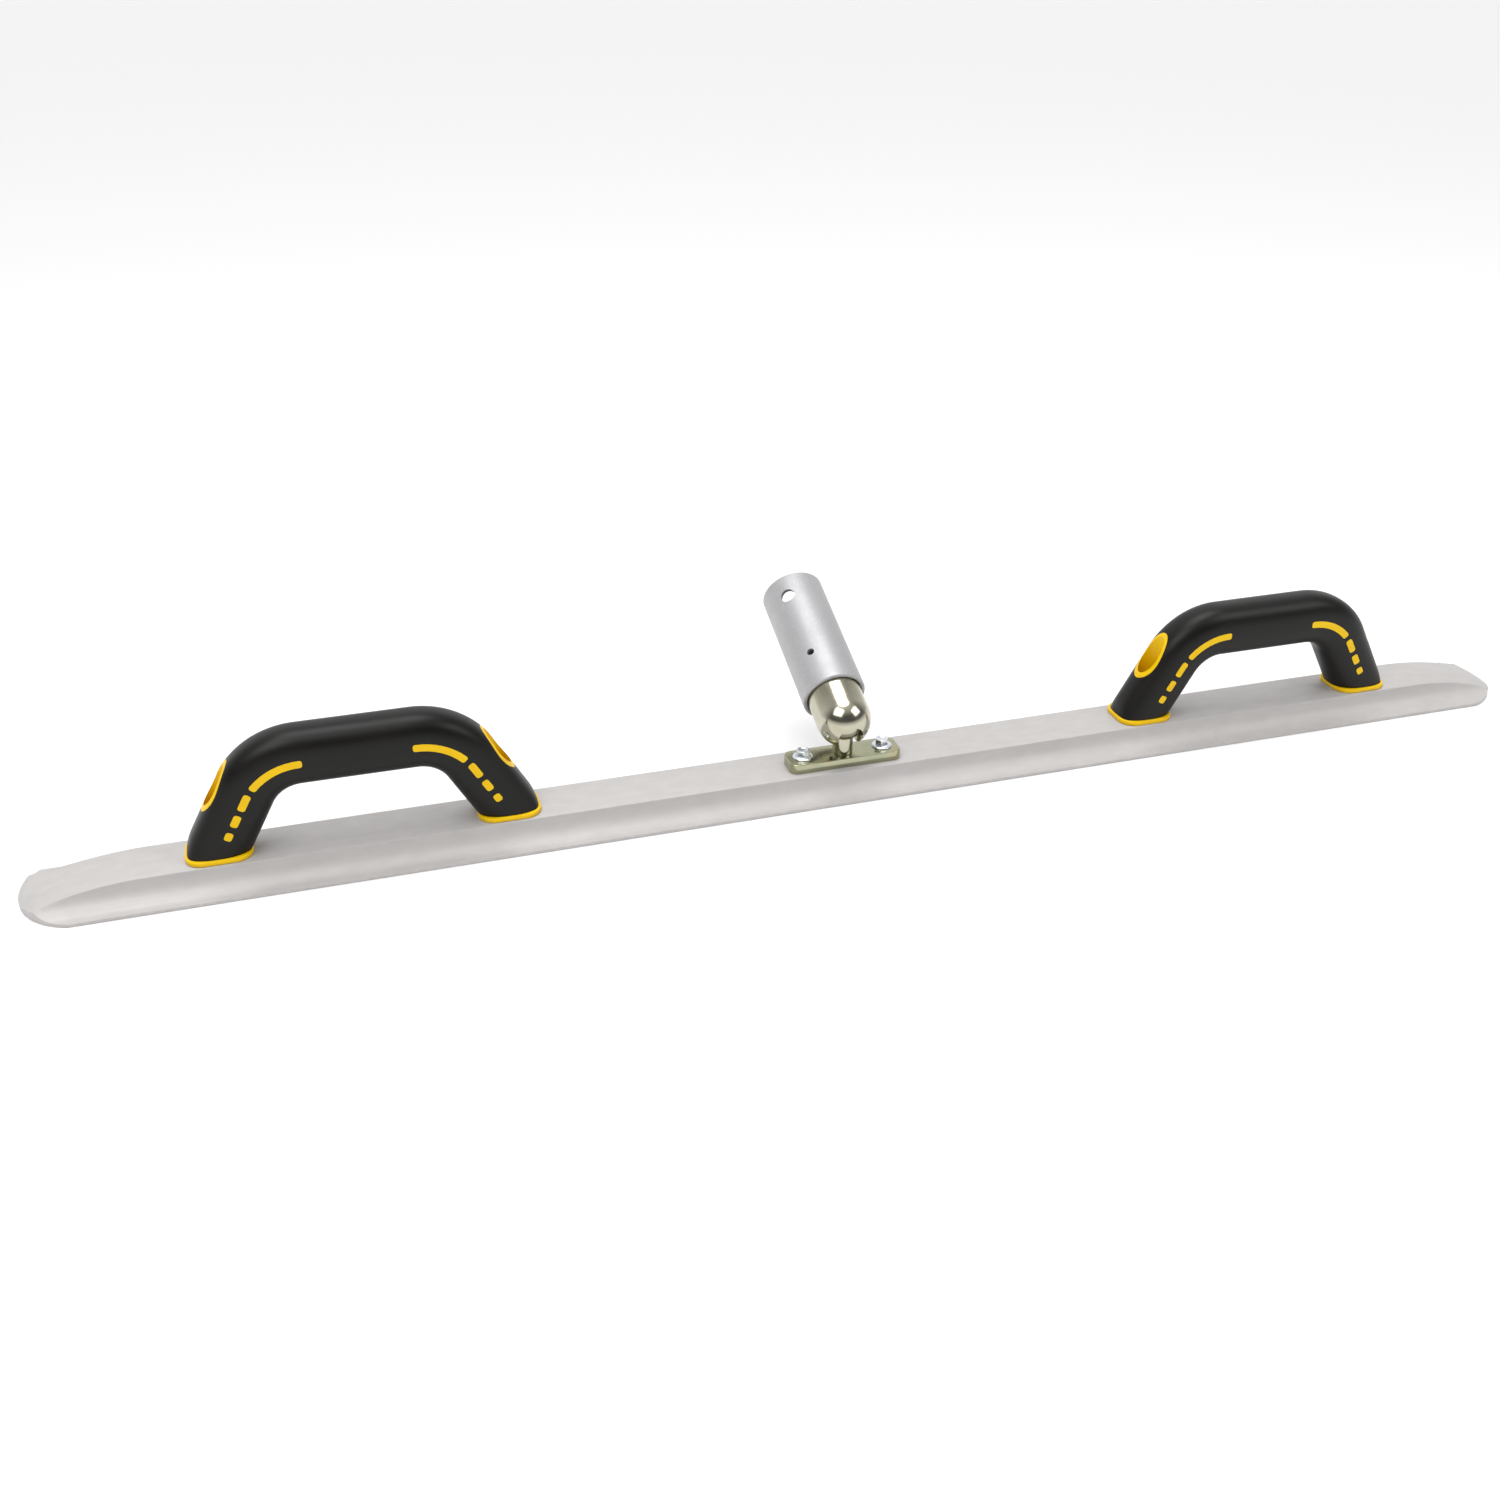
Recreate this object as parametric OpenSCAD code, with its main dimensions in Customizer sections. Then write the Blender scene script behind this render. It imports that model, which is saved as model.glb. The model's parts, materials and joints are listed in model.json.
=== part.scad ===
// Bull float: a 48 in blade with a central rib, two moulded hand grips, and a
// ball-jointed bracket that takes a push pole. X runs along the blade, Y from
// the front edge to the back edge, Z up, and the origin is the centre of the sole.

/* [Blade] */
// Overall length of the blade
blade_l = 1219.2; // [1000:1:1500]
// Width of the sole
blade_w = 79.4; // [76:0.1:90]
// Height of the rib's flat top above the sole
rib_h = 19.1; // [17:0.1:24]
// Width of the rib's flat top
rib_w = 43.2; // [40:0.1:46]
// Thickness of the thin front and back edges
edge_t = 2.4; // [2:0.1:4]
// Radius of each rounded end, seen from above
end_r = 50; // [45:1:60]
// Offset of that end arc towards the back edge
end_shift = 8; // [0:1:9]
// Length over which the rib ramps down to each end
ramp_l = 90; // [50:1:110]
// Thickness left at the tip of the ramp
tip_h = 3.2; // [3:0.1:6]

/* [Handles] */
// Distance from the blade's middle to each handle's middle
handle_x = 368; // [300:1:400]
// Height of the bar's centreline above the sole
bar_z = 89.2; // [80:0.1:100]
// Distance from the handle's middle to a leg's centreline, at the rib
leg_foot = 106.1; // [95:0.1:115]
// Lean of the legs from vertical
leg_lean = 29.4; // [20:0.1:35]
// Radius of the centreline where the bar turns into a leg
shoulder_r = 45; // [40:1:55]
// Height of the grip's section
grip_h = 43; // [38:0.5:46]
// Width of the grip's section
grip_w = 37; // [35:0.5:38]
// Height of the hard core's section
core_h = 30; // [26:0.5:32]
// Width of the hard core's section
core_w = 24; // [22:0.5:26]
// Length of each foot flange along the blade
foot_l = 47; // [44:0.5:50]
// Width of each foot flange
foot_w = 40; // [39:0.5:42]
// Thickness of each foot flange
foot_t = 3.6; // [3:0.1:5]
// Distance from the handle's middle to a foot flange's middle
foot_x = 103.5; // [100:0.5:107]
// Distance from the handle's middle to each screw well's axis
well_x = 99.5; // [97:0.5:101]
// Inner radius of a screw well
well_r = 9; // [8:0.1:10]
// Wall of a screw well
well_wall = 2.4; // [2:0.1:3]
// Height of a well's floor above the sole
well_floor = 36; // [32:1:44]
// Width of the inlaid side stripes
stripe_w = 5.5; // [4:0.5:7]

/* [Bracket] */
// Offset of the bracket from the rib's centreline, towards the front edge
bracket_y = -3; // [-4:0.5:4]
// Length of the bracket plate
plate_l = 92; // [86:1:110]
// Width of the bracket plate
plate_w = 25.4; // [25:0.1:30]
// Thickness of the bracket plate
plate_t = 8; // [8:0.1:10]
// Distance from the bracket's middle to each bracket screw
plate_screw_x = 33; // [32:0.5:38]
// Height of the ball's centre above the sole
ball_z = 55.8; // [55:0.1:60]
// Radius of the ball
ball_r = 16.8; // [15:0.1:16.8]
// Radius of the stud's shank
shank_r = 8; // [7:0.1:8]

/* [Pole socket] */
// Elevation of the pole above horizontal, as drawn
rest_elevation = 22; // [15:1:60]
// Lowest elevation of the pole, where the slot ends
low_elevation = 10; // [10:1:14]
// Outer radius of the socket housing
housing_r = 21.6; // [21.5:0.1:21.8]
// Width of the slot that the stud passes through
slot_w = 19.6; // [18:0.1:20]
// Outer diameter of the pole sleeve
sleeve_od = 50.8; // [50:0.1:54]
// Diameter of the bore that takes a 1-3/4 in pole
sleeve_id = 44.9; // [44.6:0.1:46]
// Depth of that bore from the sleeve's mouth
pole_depth = 75; // [60:1:76]
// Distance from the ball's centre to the sleeve's lower rim
sleeve_start = 23; // [22:0.5:26]
// Length of the pole sleeve
sleeve_l = 117; // [100:1:140]
// Distance from the sleeve's mouth to its button hole
button_inset = 21.5; // [15:0.5:30]
// Radius of the button hole
button_r = 6; // [4:0.1:7]
// Angle of the sleeve's holes round its axis, from the top towards the left
hole_roll = 32; // [0:1:90]

/* [Hidden] */
$fn = 96;

// Small overlap where two pieces of one solid meet, and a length that clears any part
lap = 0.01;
over = 20;

// Blade
fillet_r = rib_h - edge_t;
ramp_drop = rib_h - tip_h;
ramp_r = (ramp_l * ramp_l + ramp_drop * ramp_drop) / (2 * ramp_drop);

// Handle path: the bar's half length, the shoulder's centre and the leg's start
leg_turn = 90 - leg_lean;
corner_x = leg_foot - (bar_z - rib_h) * tan(leg_lean);
bar_half = corner_x - shoulder_r * tan(leg_turn / 2);
shoulder_z = bar_z - shoulder_r;
leg_start_x = bar_half + shoulder_r * cos(leg_lean);
leg_start_z = shoulder_z + shoulder_r * sin(leg_lean);
foot_top = rib_h + foot_t;
foot_corner_r = 13;
leg_l = (leg_start_z - rib_h) / cos(leg_lean) + over;
grip_limit = foot_x + foot_l / 2 - 1;
section_n = 24;
section_power = 0.8;

// Rings of the handle's sweep, each as its centre's x and z and its turn from the bar
shoulder_steps = 9;
foot_ring = [leg_start_x + leg_l * sin(leg_lean), leg_start_z - leg_l * cos(leg_lean), leg_turn];
right_rings = [for (i = [0:shoulder_steps]) let (a = leg_turn * i / shoulder_steps)
    [bar_half + shoulder_r * sin(a), shoulder_z + shoulder_r * cos(a), a]];
half_rings = concat(right_rings, [foot_ring]);
left_rings = [for (i = [shoulder_steps + 1:-1:0]) let (ring = half_rings[i]) [-ring[0], ring[1], -ring[2]]];
rings = concat(left_rings, half_rings);

// Side stripes: one arc at each shoulder and three dashes down each leg
stripe_start = 38;
stripe_end_angle = 41;
dash_starts = [-4.7, 12.7, 27.3];
dash_lengths = [13.1, 9.5, 6.5];

// Fasteners
screw_r = 2.45;
screw_hole_r = 2.5;
screw_depth = 14;
handle_head_r = 5;
handle_head_h = 5;
handle_key_r = 2.9;
screw_gap = 1;
handle_washer_r = 7.5;
handle_washer_t = 1.5;
plate_clear_r = 3;
plate_flange_r = 8;
plate_flange_t = 1.6;
plate_hex = 9.5;
plate_head_h = 6.6;
plate_dish_r = 3.2;
plate_dish_d = 0.8;
plate_corner_r = 7;

// Stud
plate_top = rib_h + plate_t;
journal_r = 6;
run_fit = 0.05;
face_gap = 0.1;
rivet_r = 9.4;
rivet_t = 3;
pocket_r = 10;
pocket_d = 3.4;
rivet_pin_r = 5;

// Socket, along the pole axis from the ball's centre
socket_gap = 0.4;
cavity_r = ball_r + socket_gap;
tilt_rest = 90 - rest_elevation;
tilt_low = 90 - low_elevation;
shoulder_s = sleeve_start + 4;
housing_end = 64;
seat_start = 6;
seat_end = 20;
spring_end = 23;
plug_end = 33;
inner_gap = 0.1;
plug_key = 8;
key_depth = (plug_end - spring_end) / 2;
set_screw_s = 54.5;
set_screw_r = 3;
set_screw_l = 4.6;
set_screw_key_r = 1.7;
set_screw_key_d = 2;
set_screw_gap = 0.2;
mouth_s = sleeve_start + sleeve_l;
sleeve_chamfer = 0.6;
sleeve_seat_r = sleeve_id / 2 - 0.35;

// ---------------------------------------------------------------- outlines

// Rectangle with round corners, centred on the origin
module rounded_rectangle(length, width, r) {
    square([length - 2 * r, width], center = true);
    square([length, width - 2 * r], center = true);
    for (x = [-1, 1], y = [-1, 1])
        translate([x * (length / 2 - r), y * (width / 2 - r)]) circle(r = r);
}

// Blade section in Y and Z: thin edges, hollow flanks and a flat-topped rib
module blade_section() {
    difference() {
        union() {
            translate([-blade_w / 2, 0]) square([blade_w, edge_t]);
            translate([-rib_w / 2 - fillet_r, 0]) square([rib_w + 2 * fillet_r, rib_h]);
        }
        for (side = [-1, 1])
            translate([side * (rib_w / 2 + fillet_r), rib_h]) circle(r = fillet_r);
    }
}

// Blade from above: a strip with a blunt round arc at each end
module blade_plan() {
    intersection() {
        square([blade_l, blade_w], center = true);
        union() {
            square([blade_l - 2 * end_r, blade_w], center = true);
            for (side = [-1, 1])
                translate([side * (blade_l / 2 - end_r), end_shift]) circle(r = end_r);
        }
    }
}

// Blade from the side: the rib's top runs down to each tip along an arc
module blade_side() {
    intersection() {
        translate([-blade_l / 2, 0]) square([blade_l, rib_h]);
        union() {
            translate([-blade_l / 2 + ramp_l, 0]) square([blade_l - 2 * ramp_l, rib_h]);
            for (side = [-1, 1])
                translate([side * (blade_l / 2 - ramp_l), rib_h - ramp_r]) circle(r = ramp_r, $fn = 360);
        }
    }
}

// ------------------------------------------------------------------- blade

module screw_bores() {
    for (side = [-1, 1], leg = [-1, 1])
        translate([side * handle_x + leg * well_x, 0, rib_h - screw_depth])
            cylinder(r = screw_hole_r, h = over);
    for (side = [-1, 1])
        translate([side * plate_screw_x, bracket_y, rib_h - screw_depth])
            cylinder(r = screw_hole_r, h = over);
}

module blade() {
    color("silver")
        difference() {
            intersection() {
                rotate([90, 0, 90])
                    linear_extrude(blade_l, center = true) blade_section();
                rotate([90, 0, 0])
                    linear_extrude(blade_w + over, center = true) blade_side();
                linear_extrude(rib_h + over) blade_plan();
            }
            screw_bores();
        }
}

// ----------------------------------------------------------------- handles

// Point of an oval section with full sides, between an ellipse and a rectangle
function oval_point(i, height, width) =
    let (a = 360 * (i + 0.5) / section_n, c = cos(a), s = sin(a))
    [height / 2 * sign(c) * pow(abs(c), section_power),
        width / 2 * sign(s) * pow(abs(s), section_power)];

// Sweep of an oval section from one foot over the bar to the other foot
module handle_sweep(height, width) {
    section = [for (i = [0:section_n - 1]) oval_point(i, height, width)];
    last = len(rings) - 1;
    points = [for (ring = rings, p = section)
        [ring[0] + p[0] * sin(ring[2]), p[1], ring[1] + p[0] * cos(ring[2])]];
    sides = [for (k = [0:last - 1], i = [0:section_n - 1])
        let (a = k * section_n, b = a + section_n, j = (i + 1) % section_n)
        [a + i, a + j, b + j, b + i]];
    start_cap = [for (i = [section_n - 1:-1:0]) i];
    end_cap = [for (i = [0:section_n - 1]) last * section_n + i];
    polyhedron(points, concat([start_cap, end_cap], sides));
}

// The grip's whole outer body, cut level above the foot flanges
module grip_body() {
    intersection() {
        handle_sweep(grip_h, grip_w);
        translate([-grip_limit, -grip_w, foot_top])
            cube([2 * grip_limit, 2 * grip_w, bar_z]);
    }
}

// One dash of the side stripe, on the leg's centreline
module dash(start, length) {
    translate([leg_start_x, 0, leg_start_z]) rotate([0, 180 - leg_lean, 0])
        translate([-stripe_w / 2, -grip_w / 2, start])
            cube([stripe_w, grip_w, length]);
}

// All stripes, as bars that run through the handle from side to side
module stripes() {
    for (side = [0, 1]) mirror([side, 0, 0]) {
        translate([stripe_start, -grip_w / 2, bar_z - stripe_w / 2])
            cube([bar_half - stripe_start, grip_w, stripe_w]);
        translate([bar_half, 0, shoulder_z]) rotate([90, 0, 0]) rotate([0, 0, stripe_end_angle])
            rotate_extrude(angle = 90 - stripe_end_angle)
                translate([shoulder_r, 0]) square([stripe_w, grip_w], center = true);
        for (i = [0:2]) dash(dash_starts[i], dash_lengths[i]);
    }
}

module well_tubes(r) {
    for (side = [-1, 1])
        translate([side * well_x, 0, foot_top - lap]) cylinder(r = r, h = bar_z);
}

// Hard core: inner bar, foot flanges, screw wells and the stripes
module core_solid() {
    intersection() {
        union() {
            handle_sweep(core_h, core_w);
            stripes();
            well_tubes(well_r + well_wall);
        }
        grip_body();
    }
    for (side = [-1, 1])
        translate([side * foot_x, 0, rib_h])
            linear_extrude(foot_t) rounded_rectangle(foot_l, foot_w, foot_corner_r);
}

module handle_core() {
    color("gold")
        difference() {
            core_solid();
            for (side = [-1, 1]) translate([side * well_x, 0, 0]) {
                translate([0, 0, well_floor]) cylinder(r = well_r, h = bar_z);
                cylinder(r = screw_hole_r, h = bar_z);
            }
        }
}

// Soft overmould: the grip's body with the core's space taken out
module handle_grip() {
    color([0.13, 0.13, 0.13])
        difference() {
            grip_body();
            handle_sweep(core_h, core_w);
            stripes();
            well_tubes(well_r + well_wall);
        }
}

module handle_screw() {
    head_z = well_floor + handle_washer_t;
    color("silver")
        difference() {
            union() {
                translate([0, 0, rib_h - screw_depth + screw_gap])
                    cylinder(r = screw_r, h = head_z - rib_h + screw_depth - screw_gap + lap);
                translate([0, 0, head_z]) cylinder(r = handle_head_r, h = handle_head_h);
            }
            translate([0, 0, head_z + handle_head_h / 2]) cylinder(r = handle_key_r, h = over, $fn = 6);
        }
}

module handle_washer() {
    color("silver") translate([0, 0, well_floor]) difference() {
        cylinder(r = handle_washer_r, h = handle_washer_t);
        translate([0, 0, -1]) cylinder(r = screw_hole_r, h = over);
    }
}

// ----------------------------------------------------------------- bracket

module bracket_plate() {
    color([0.62, 0.62, 0.42])
        translate([0, bracket_y, rib_h]) difference() {
            linear_extrude(plate_t) rounded_rectangle(plate_l, plate_w, plate_corner_r);
            for (side = [-1, 1])
                translate([side * plate_screw_x, 0, -1]) cylinder(r = plate_clear_r, h = over);
            translate([0, 0, -1]) cylinder(r = journal_r + run_fit, h = over);
            translate([0, 0, -1]) cylinder(r = pocket_r, h = pocket_d + 1);
        }
}

module bracket_screw() {
    color("lightsteelblue") translate([0, bracket_y, 0]) {
        difference() {
            union() {
                translate([0, 0, rib_h - screw_depth + screw_gap])
                    cylinder(r = screw_r, h = plate_top - rib_h + screw_depth - screw_gap + lap);
                translate([0, 0, plate_top]) cylinder(r = plate_flange_r, h = plate_flange_t);
                translate([0, 0, plate_top])
                    cylinder(r = plate_hex / 2 / cos(30), h = plate_head_h, $fn = 6);
            }
            translate([0, 0, plate_top + plate_head_h - plate_dish_d]) cylinder(r = plate_dish_r, h = over);
        }
    }
}

// Ball, shank and journal turned in one piece
module ball_stud() {
    color([0.72, 0.71, 0.6]) translate([0, bracket_y, 0]) {
        translate([0, 0, rib_h + pocket_d - rivet_t]) cylinder(r = rivet_pin_r, h = rivet_t + lap);
        translate([0, 0, rib_h + pocket_d]) cylinder(r = journal_r, h = plate_top - rib_h);
        translate([0, 0, plate_top + face_gap]) cylinder(r = shank_r, h = ball_z - plate_top - face_gap);
        translate([0, 0, ball_z]) sphere(r = ball_r);
    }
}

// Riveted head that holds the stud down, in a pocket under the plate
module stud_rivet() {
    color("gray") translate([0, bracket_y, rib_h + pocket_d - rivet_t - face_gap])
        difference() {
            cylinder(r = rivet_r, h = rivet_t);
            translate([0, 0, -1]) cylinder(r = rivet_pin_r + run_fit, h = over);
        }
}

// ------------------------------------------------------------- pole socket

// Places a shape drawn along +Z from the ball's centre onto the pole's axis
module on_pole_axis() {
    translate([0, bracket_y, ball_z]) rotate([-tilt_rest, 0, 0]) children();
}

// Slot for the stud, from the pole's own axis round to its lowest elevation
module stud_slot() {
    half = slot_w / 2;
    reach = housing_r + 5;
    rotate([180, 0, 0]) cylinder(r = half, h = reach);
    intersection() {
        translate([-half, 0, -reach]) cube([slot_w, reach, 2 * reach]);
        rotate([-low_elevation, 0, 0]) translate([-reach, -reach, -2 * reach]) cube(2 * reach);
    }
    rotate([180 + tilt_low, 0, 0]) cylinder(r = half, h = reach);
}

// Half section of the housing: a dome, a barrel and a shank that fits the sleeve
module housing_profile() {
    shank = sleeve_seat_r - run_fit;
    difference() {
        union() {
            intersection() {
                circle(r = housing_r);
                translate([0, -housing_r]) square(housing_r);
            }
            square([housing_r, shoulder_s + lap]);
            translate([0, shoulder_s]) square([shank, housing_end - shoulder_s]);
        }
        circle(r = cavity_r);
        square([cavity_r, housing_end + 1]);
    }
}

module socket_housing() {
    color([0.78, 0.77, 0.7]) on_pole_axis() difference() {
        rotate_extrude() housing_profile();
        stud_slot();
        rotate([0, 0, -hole_roll]) translate([0, 0, set_screw_s]) rotate([90, 0, 0])
            cylinder(r = set_screw_r, h = 2 * over);
    }
}

// Plastic cup that the back of the ball bears on
module ball_seat() {
    color("ivory") on_pole_axis() difference() {
        translate([0, 0, seat_start]) cylinder(r = cavity_r - inner_gap, h = seat_end - seat_start);
        sphere(r = cavity_r);
        stud_slot();
    }
}

// Disc spring between the seat and the plug
module seat_spring() {
    color("slategray") on_pole_axis() translate([0, 0, seat_end + inner_gap])
        difference() {
            cylinder(r = cavity_r - 1, h = spring_end - seat_end - 2 * inner_gap);
            translate([0, 0, -1]) cylinder(r = plug_key, h = over);
        }
}

// Threaded plug that closes the housing and loads the spring
module socket_plug() {
    color("dimgray") on_pole_axis() translate([0, 0, spring_end]) difference() {
        cylinder(r = cavity_r - inner_gap, h = plug_end - spring_end);
        translate([0, 0, plug_end - spring_end - key_depth]) cylinder(r = plug_key, h = over, $fn = 6);
    }
}

// Half section of the sleeve: the pole's bore, and a tighter seat on the housing
module sleeve_profile() {
    c = sleeve_chamfer;
    outer = sleeve_od / 2;
    bore = sleeve_id / 2;
    polygon([[sleeve_seat_r, c], [sleeve_seat_r + c, 0], [outer - c, 0], [outer, c],
        [outer, sleeve_l - c], [outer - c, sleeve_l], [bore + c, sleeve_l], [bore, sleeve_l - c],
        [bore, sleeve_l - pole_depth], [sleeve_seat_r, sleeve_l - pole_depth]]);
}

module pole_sleeve() {
    color("lightgray") on_pole_axis() difference() {
        translate([0, 0, sleeve_start]) rotate_extrude() sleeve_profile();
        rotate([0, 0, -hole_roll]) {
            translate([0, 0, mouth_s - button_inset]) rotate([90, 0, 0])
                cylinder(r = button_r, h = 2 * sleeve_od, center = true);
            translate([0, 0, set_screw_s]) rotate([90, 0, 0])
                cylinder(r = set_screw_r, h = 2 * over);
        }
    }
}

module sleeve_set_screw() {
    color("dimgray") on_pole_axis() rotate([0, 0, -hole_roll])
        translate([0, 0, set_screw_s]) rotate([90, 0, 0])
            translate([0, 0, cavity_r + set_screw_gap]) difference() {
                cylinder(r = set_screw_r - run_fit, h = set_screw_l);
                translate([0, 0, set_screw_l - set_screw_key_d])
                    cylinder(r = set_screw_key_r, h = over, $fn = 6);
            }
}

// ---------------------------------------------------------------- assembly

module at_handle(side) {
    translate([side * handle_x, 0, 0]) children();
}

module at_leg(side, leg) {
    translate([side * handle_x + leg * well_x, 0, 0]) children();
}

blade();
at_handle(-1) handle_core();  // left_handle_core
at_handle(-1) handle_grip();  // left_handle_grip
at_leg(-1, -1) handle_screw();  // left_handle_outer_screw
at_leg(-1, 1) handle_screw();  // left_handle_inner_screw
at_leg(-1, -1) handle_washer();  // left_handle_outer_washer
at_leg(-1, 1) handle_washer();  // left_handle_inner_washer
at_handle(1) handle_core();  // right_handle_core
at_handle(1) handle_grip();  // right_handle_grip
at_leg(1, 1) handle_screw();  // right_handle_outer_screw
at_leg(1, -1) handle_screw();  // right_handle_inner_screw
at_leg(1, 1) handle_washer();  // right_handle_outer_washer
at_leg(1, -1) handle_washer();  // right_handle_inner_washer
bracket_plate();
translate([-plate_screw_x, 0, 0]) bracket_screw();  // bracket_left_screw
translate([plate_screw_x, 0, 0]) bracket_screw();  // bracket_right_screw
ball_stud();
stud_rivet();
socket_housing();
ball_seat();
seat_spring();
socket_plug();
pole_sleeve();
sleeve_set_screw();
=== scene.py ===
"""Bull float: the visual model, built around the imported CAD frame. Everything is in metres."""

import json
from math import acos, atan2, cos, pi, radians, sin, sqrt, tan

import bmesh
import bpy
from mathutils import Matrix, Vector


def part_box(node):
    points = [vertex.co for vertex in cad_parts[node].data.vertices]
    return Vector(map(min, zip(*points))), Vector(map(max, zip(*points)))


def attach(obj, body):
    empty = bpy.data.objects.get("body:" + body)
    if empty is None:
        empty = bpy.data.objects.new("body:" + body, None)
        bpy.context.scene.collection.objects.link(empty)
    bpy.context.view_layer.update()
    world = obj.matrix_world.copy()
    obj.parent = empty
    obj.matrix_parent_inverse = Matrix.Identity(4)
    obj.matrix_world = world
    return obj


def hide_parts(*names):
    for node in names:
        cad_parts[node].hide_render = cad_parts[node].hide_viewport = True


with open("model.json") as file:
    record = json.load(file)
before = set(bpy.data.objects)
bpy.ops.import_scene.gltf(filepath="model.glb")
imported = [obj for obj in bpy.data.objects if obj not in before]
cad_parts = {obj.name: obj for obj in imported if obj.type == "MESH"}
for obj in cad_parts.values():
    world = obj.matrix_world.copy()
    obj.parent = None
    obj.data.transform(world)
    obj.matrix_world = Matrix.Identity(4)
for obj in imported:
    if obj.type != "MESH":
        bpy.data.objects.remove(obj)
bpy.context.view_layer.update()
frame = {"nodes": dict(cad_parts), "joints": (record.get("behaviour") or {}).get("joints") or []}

# ------------------------------------------------------------------ sizes

# Every part
GAP = 0.00005  # between parts that slide or screw together
AXIS_R = 0.0002  # where a turned outline ends beside its axis
CUT_PAST = 0.001  # how far a cutter reaches past the face that it opens

# Blade: the rib's flanks are arcs, and each end is ramped and rounded
BLADE_HALF, BLADE_EDGE_Y, RIB_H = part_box("blade")[1]
RIB_HALF = 0.0216
EDGE_T = 0.0024
FILLET_R = RIB_H - EDGE_T
BLADE_BEVEL = 0.0005
END_R = 0.050
END_SHIFT = 0.008
TIP_H = 0.0032
RAMP_L = 0.090
RAMP_DROP = RIB_H - TIP_H
RAMP_R = (RAMP_L**2 + RAMP_DROP**2) / (2 * RAMP_DROP)

# Screws into the blade
SCREW_HOLE_R = 0.0025
SCREW_DEPTH = 0.014
SCREW_R = 0.00245
SCREW_TAPER = 0.0015
SCREW_TIP_Z = RIB_H - SCREW_DEPTH + 0.001

# Handles, centred on x = 0 until they are put in place
HANDLE_X = sum(corner.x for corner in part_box("right_handle_core")) / 2
BAR_Z = 0.0892
LEG_LEAN = radians(29.4)
LEG_FOOT_X = 0.1061
SHOULDER_R = 0.045
GRIP_H, GRIP_W = 0.0430, 0.0367
CORE_H, CORE_W = 0.0300, 0.0240
SECTION_POWER = 0.8
FOOT_X, FOOT_L, FOOT_W, FOOT_T = 0.1035, 0.047, 0.040, 0.0036
FOOT_CORNER, FOOT_EDGE = 0.013, 0.0009
FOOT_TOP = RIB_H + FOOT_T
FOOT_RIM = 0.001
LEG_LIMIT = FOOT_X + FOOT_L / 2 - FOOT_RIM
WELL_X, WELL_R, WELL_WALL, WELL_FLOOR = 0.0995, 0.009, 0.0024, 0.036
ABOVE_GRIP = 0.12

# The centreline: half of the straight bar, a shoulder arc, and a leg that leans outwards
LEG_TURN = pi / 2 - LEG_LEAN
BAR_HALF = LEG_FOOT_X - (BAR_Z - RIB_H) * tan(LEG_LEAN) - SHOULDER_R * tan(LEG_TURN / 2)
SHOULDER_Z = BAR_Z - SHOULDER_R
LEG_START = BAR_HALF + SHOULDER_R * LEG_TURN
DOWN_LEG = Vector((sin(LEG_LEAN), 0, -cos(LEG_LEAN)))

# Stripes: an arc at each shoulder, then dashes as (start, length) along the leg
STRIPE_W, STRIPE_CORNER, STRIPE_DEPTH = 0.0055, 0.0018, 0.0085
STRIPE_START = 0.038
STRIPE_END = radians(41)
STRIPE_PROUD = 0.00012
DASHES = [(-0.0047, 0.0131), (0.0127, 0.0095), (0.0273, 0.0065)]

# Handle screws and washers
WASHER_BORE, WASHER_R, WASHER_T = 0.0025, 0.0075, 0.0015
HEAD_R, HEAD_H = 0.005, 0.005
KEY_R, KEY_D = 0.0029, 0.0025

# Bracket
PLATE_LOW, PLATE_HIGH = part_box("bracket_plate")
PLATE_L, PLATE_W, PLATE_T = PLATE_HIGH - PLATE_LOW
BRACKET_Y = (PLATE_LOW.y + PLATE_HIGH.y) / 2
PLATE_TOP = PLATE_HIGH.z
PLATE_CORNER, PLATE_EDGE = 0.007, 0.0007
PLATE_HOLE_R = 0.003
PLATE_SCREW_X = sum(corner.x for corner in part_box("bracket_right_screw")) / 2
HEX_HALF, HEX_H = 0.00475, 0.0066
BALL = Vector(frame["joints"][1]["pos_m"])
BALL_R = 0.0168
SHANK_R, SHANK_GAP = 0.008, 0.0001
JOURNAL_R = 0.006
RIVET_PIN_R, RIVET_PIN_H = 0.005, 0.003
POCKET_R, POCKET_D = 0.010, 0.0034

# Pole socket, along the pole's axis from the ball's centre
ELEVATION = radians(22)
LOW_ELEVATION = radians(10)
POLE_AXIS = Matrix.Translation(BALL) @ Matrix.Rotation(ELEVATION - pi / 2, 4, "X")
HOUSING_R = 0.0216
CAVITY_R = 0.0172
SLOT_HALF, SLOT_ROUNDING = 0.0098, 0.0011
SLEEVE_START, SLEEVE_END = 0.023, 0.140
HOUSING_SHOULDER, HOUSING_END = 0.027, 0.064
SLEEVE_R, SLEEVE_BORE, SLEEVE_SEAT = 0.0254, 0.02245, 0.0221
SLEEVE_CHAMFER = 0.0009
POLE_STOP = 0.065
BUTTON_S, BUTTON_R = 0.1185, 0.006
SET_SCREW_S, SET_SCREW_R = 0.0545, 0.003
SET_SCREW_LOW, SET_SCREW_HIGH = CAVITY_R + 0.0002, CAVITY_R + 0.0048
SET_KEY_R, SET_KEY_D = 0.0017, 0.002
HOLE_ROLL = radians(-32)

# ---------------------------------------------------------- mesh building


def circle(r, z, steps, turn=0.0):
    """A ring of points round the Z axis."""
    angles = (turn + 2 * pi * i / steps for i in range(steps))
    return [(r * cos(a), r * sin(a), z) for a in angles]


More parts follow.
